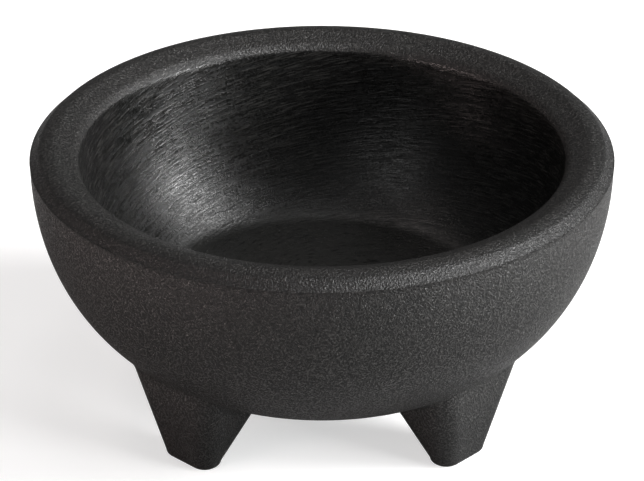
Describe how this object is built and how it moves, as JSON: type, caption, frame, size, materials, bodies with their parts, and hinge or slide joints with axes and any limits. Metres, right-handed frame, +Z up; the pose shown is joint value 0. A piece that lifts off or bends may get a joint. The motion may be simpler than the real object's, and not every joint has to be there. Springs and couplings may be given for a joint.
{
  "type": "molcajete",
  "caption": "Thick-walled round molcajete bowl in dark grained plastic, with a wide rounded rim and tapered feet.",
  "frame": {"origin": "middle of the footprint, on the surface the feet stand on", "axes": "+Z up, -Y towards the front, which lies between two feet"},
  "size_m": [0.16, 0.16, 0.079],
  "materials": {
    "charcoal_plastic": "charcoal moulded plastic, grained and matt outside and on the rim, smoother and satin inside"
  },
  "bodies": {
    "root": {"bowl": "charcoal_plastic", "foot_front_left": "charcoal_plastic", "foot_front_right": "charcoal_plastic", "foot_rear_left": "charcoal_plastic", "foot_rear_right": "charcoal_plastic"}
  },
  "joints": []
}
